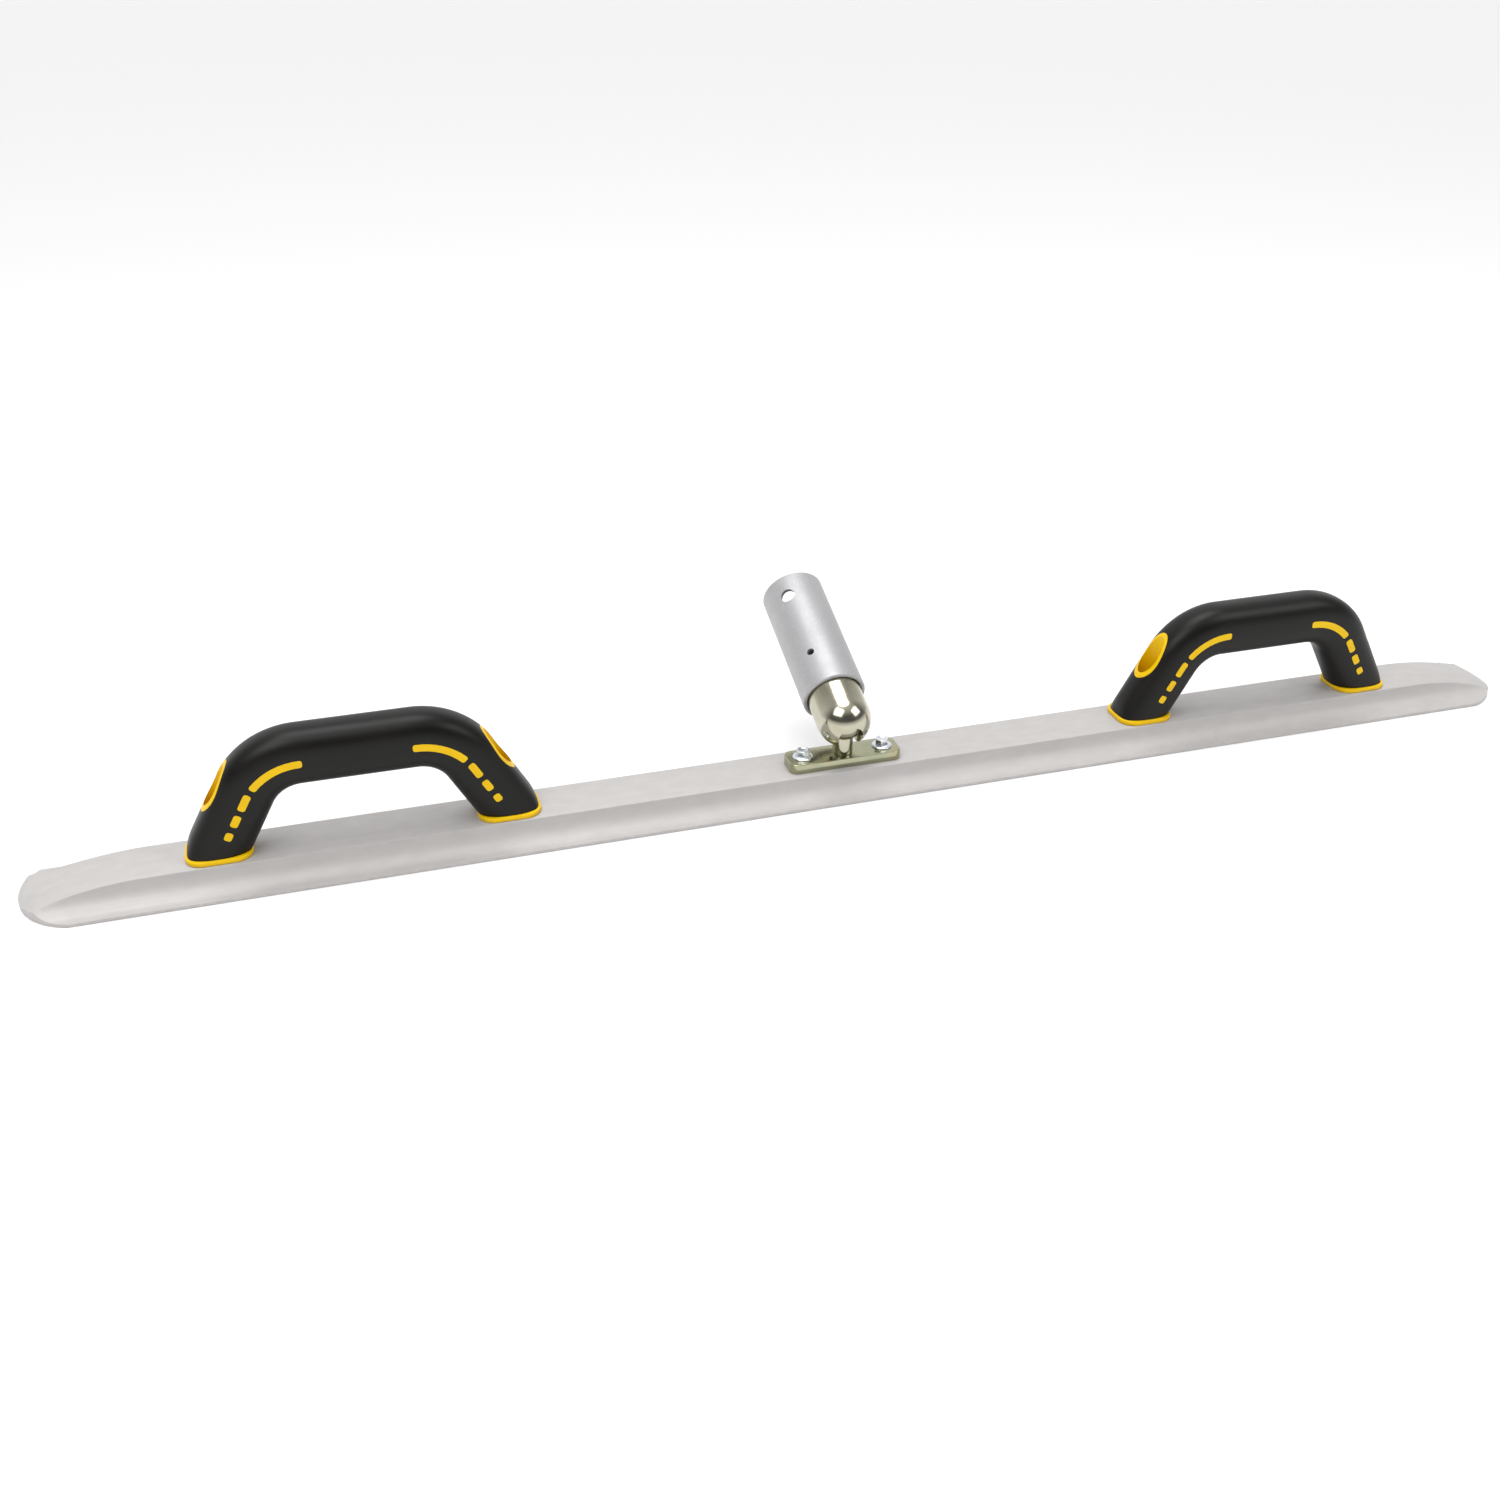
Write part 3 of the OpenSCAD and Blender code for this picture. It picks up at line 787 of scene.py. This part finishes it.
def make_stud():
    """Ball, shank, journal and rivet pin turned in one piece."""
    pocket_z = RIB_H + POCKET_D
    shank_z = PLATE_TOP + SHANK_GAP
    meet = -sqrt(BALL_R**2 - SHANK_R**2)
    points = fillet([(RIVET_PIN_R, pocket_z - RIVET_PIN_H, 0), (RIVET_PIN_R, pocket_z, 0),
                     (JOURNAL_R, pocket_z, 0.0002), (JOURNAL_R, shank_z, 0),
                     (SHANK_R, shank_z, 0.0005), (SHANK_R, BALL.z + meet, 0)], closed=False)
    first = atan2(meet, SHANK_R)
    steps = 48
    for k in range(1, steps):
        a = first + (pi / 2 - first) * k / steps
        points.append((BALL_R * cos(a), BALL.z + BALL_R * sin(a)))
    stud = as_object("turned_ball_stud", lathe(points), Matrix.Translation((0, BRACKET_Y, 0)))
    return place(stud, "stud", "plated_polish", POLISH, "ball_stud")


# ------------------------------------------------------------ pole socket


def slot_cutter():
    """The stud's slot: a round-ended band from the pole's axis to its lowest elevation."""
    past_dome = HOUSING_R + 0.006
    tilt_low = pi / 2 - LOW_ELEVATION
    section = [(-SLOT_HALF, 0.0), (SLOT_HALF, 0.0), (SLOT_HALF, past_dome), (-SLOT_HALF, past_dome)]
    steps = 28
    rows = []
    for k in range(steps + 1):
        a = pi + tilt_low * k / steps
        rows.append([Vector((x, -r * sin(a), r * cos(a))) for x, r in section])
    cutters = [as_object("band", stack(rows))]
    for a in (pi, pi + tilt_low):
        mesh = stack([circle(SLOT_HALF, z, 40) for z in (0.0, past_dome)])
        cutters.append(as_object("end", mesh, Matrix.Rotation(a, 4, "X")))
    return cutters


def hole_frame(s):
    """The frame of a hole s metres along the pole's axis, with Z out through the wall."""
    roll = Matrix.Rotation(HOLE_ROLL, 4, "Z") @ Matrix.Translation((0, 0, s))
    return roll @ Matrix.Rotation(pi / 2, 4, "X")


def radial_cutter(r, s, low=0.0, high=0.04):
    """A cylinder across the pole's axis, rolled to the holes' side."""
    mesh = stack([circle(r, z, 48) for z in (low, high)])
    return as_object("cutter", mesh, hole_frame(s))


def dome(r, steps=40):
    """A quarter circle from beside the axis to the equator, below the ball's centre."""
    turns = [pi / 2 * k / steps for k in range(1, steps + 1)]
    return [(r * sin(t), -r * cos(t)) for t in turns]


def make_housing():
    """Turned housing: a slotted dome, a barrel and a shank inside the sleeve."""
    shank, outer_chamfer, inner_chamfer = SLEEVE_SEAT - GAP, 0.0006, 0.0004
    barrel = [(HOUSING_R, HOUSING_SHOULDER), (shank, HOUSING_SHOULDER),
              (shank, HOUSING_END - outer_chamfer), (shank - outer_chamfer, HOUSING_END),
              (CAVITY_R + inner_chamfer, HOUSING_END), (CAVITY_R, HOUSING_END - inner_chamfer)]
    outline = [(0.0, -HOUSING_R)] + dome(HOUSING_R) + barrel + dome(CAVITY_R)[::-1] + [(0.0, -CAVITY_R)]
    housing = as_object("slotted_socket_housing", lathe_to_axis(outline))
    combine(housing, "DIFFERENCE", slot_cutter())
    bevel(housing, SLOT_ROUNDING, segments=3, angle=55)
    combine(housing, "DIFFERENCE", [radial_cutter(SET_SCREW_R, SET_SCREW_S)])
    housing.data.transform(POLE_AXIS)
    return place(housing, "pole_head", "plated_polish", POLISH, "socket_housing")


def make_sleeve():
    """Pole sleeve with chamfered rims, a button hole through both walls and a set screw hole."""
    c = SLEEVE_CHAMFER
    outline = fillet([
        (SLEEVE_SEAT, SLEEVE_START + c, 0.0003), (SLEEVE_SEAT + c, SLEEVE_START, 0.0003),
        (SLEEVE_R - c, SLEEVE_START, 0.0004), (SLEEVE_R, SLEEVE_START + c, 0.0004),
        (SLEEVE_R, SLEEVE_END - c, 0.0004), (SLEEVE_R - c, SLEEVE_END, 0.0004),
        (SLEEVE_BORE + c, SLEEVE_END, 0.0003), (SLEEVE_BORE, SLEEVE_END - c, 0.0003),
        (SLEEVE_BORE, POLE_STOP, 0), (SLEEVE_SEAT, POLE_STOP, 0)], steps=3)
    sleeve = as_object("drilled_pole_sleeve", lathe(outline, 128, closed=True))
    button_holes = radial_cutter(BUTTON_R, BUTTON_S, low=-0.04)
    combine(sleeve, "DIFFERENCE", [button_holes, radial_cutter(SET_SCREW_R, SET_SCREW_S)])
    sleeve.data.transform(POLE_AXIS)
    return place(sleeve, "pole_head", "aluminium_tube", TUBE, "pole_sleeve")


def make_set_screw():
    """Black set screw below the sleeve's surface, with a hexagon socket."""
    low, high, r = SET_SCREW_LOW, SET_SCREW_HIGH, SET_SCREW_R - GAP
    outline = fillet([(AXIS_R, low, 0), (r, low, 0.0004), (r, high, 0.0004), (AXIS_R, high, 0)],
                     closed=False)
    screw = as_object("grub_screw", lathe(outline, 48))
    key = stack([circle(SET_KEY_R, z, 6) for z in (high - SET_KEY_D, high + CUT_PAST)])
    combine(screw, "DIFFERENCE", [as_object("key", key)])
    screw.data.transform(POLE_AXIS @ hole_frame(SET_SCREW_S))
    return place(screw, "pole_head", "black_steel", BLACK_STEEL, "sleeve_set_screw")


def dress_inner_parts():
    """Inner parts keep their CAD shape and get their materials."""
    dressing = {"ball_seat": NYLON, "seat_spring": STEEL, "socket_plug": STEEL, "stud_rivet": STEEL}
    for node, material in dressing.items():
        inner = frame["nodes"][node]
        inner.data.materials.clear()
        inner.data.materials.append(material)


make_blade()
make_handles()
make_plate()
make_bracket_screws()
make_stud()
make_housing()
make_sleeve()
make_set_screw()
dress_inner_parts()

# ----------------------------------------------------------- studio stage


def make_floor():
    """Plain pale floor, just under the sole."""
    width, corner = 120, 1
    mesh = stack([rounded_rectangle(width, width, corner, z) for z in (-0.03, -0.0003)])
    floor = as_object("floor", mesh)
    paint = bpy.data.materials.new("floor_paint")
    paint.use_nodes = True
    shader = paint.node_tree.nodes["Principled BSDF"]
    shader.inputs["Base Color"].default_value = (0.93, 0.93, 0.93, 1)
    shader.inputs["Roughness"].default_value = 0.7
    shader.inputs["Specular IOR Level"].default_value = 0.2
    floor.data.materials.append(paint)


def make_lamp(name, location, width, height, power):
    """A softbox that faces the middle of the tool."""
    data = bpy.data.lights.new(name, "AREA")
    data.shape = "RECTANGLE"
    data.size, data.size_y = width, height
    data.energy = power
    lamp = bpy.data.objects.new(name, data)
    lamp.location = location
    middle = Vector((0, 0, 0.05))
    lamp.rotation_euler = (middle - Vector(location)).to_track_quat("-Z", "Y").to_euler()
    bpy.context.scene.collection.objects.link(lamp)


def make_overhead_light():
    """Broad, even light from above, so that the floor is the same all over."""
    data = bpy.data.lights.new("overhead", "SUN")
    data.energy = 1.35
    data.angle = radians(38)
    lamp = bpy.data.objects.new("overhead", data)
    lamp.rotation_euler = (radians(-8), 0, 0)
    bpy.context.scene.collection.objects.link(lamp)


def make_world():
    """A pale room in three regions, each a strength that runs along one axis of the view."""
    world = bpy.data.worlds.new("studio")
    world.use_nodes = True
    nodes, links = world.node_tree.nodes, world.node_tree.links
    split = nodes.new("ShaderNodeSeparateXYZ")
    links.new(nodes.new("ShaderNodeTexCoord").outputs["Generated"], split.inputs["Vector"])
    # axis, its (from, to), and the strength at each: back wall, ceiling and a pale skirting
    regions = [("Y", (-0.15, 0.75), (0.12, 1.0)), ("Z", (0.55, 0.95), (0.0, 0.7)),
               ("Z", (0.10, 0.22), (0.9, 0.0))]
    brightest = None
    for axis, source, target in regions:
        strength = map_range(nodes, links, split.outputs[axis], source, target)
        if brightest:
            larger = nodes.new("ShaderNodeMath")
            larger.operation = "MAXIMUM"
            links.new(brightest, larger.inputs[0])
            links.new(strength, larger.inputs[1])
            strength = larger.outputs["Value"]
        brightest = strength
    background = nodes["Background"]
    background.inputs["Color"].default_value = (1, 1, 1, 1)
    links.new(brightest, background.inputs["Strength"])
    bpy.context.scene.world = world


def make_camera():
    """The photograph's view: from the front left, looking down at the blade."""
    data = bpy.data.cameras.new("camera")
    data.sensor_width = 36
    data.lens = 37.15
    data.clip_start = 0.05
    camera = bpy.data.objects.new("camera", data)
    camera.location = (-0.3809, -1.0068, 0.6134)
    camera.rotation_euler = (radians(90 - 28.66), 0, radians(-16.887))
    bpy.context.scene.collection.objects.link(camera)
    bpy.context.scene.camera = camera


make_floor()
make_world()
make_camera()
make_lamp("left_softbox", (-1.2, -0.9, 1.9), width=1.5, height=1.3, power=24)
make_lamp("right_softbox", (1.5, -1.1, 1.7), width=1.3, height=1.2, power=16)
make_overhead_light()
bpy.context.scene.view_settings.view_transform = "Standard"
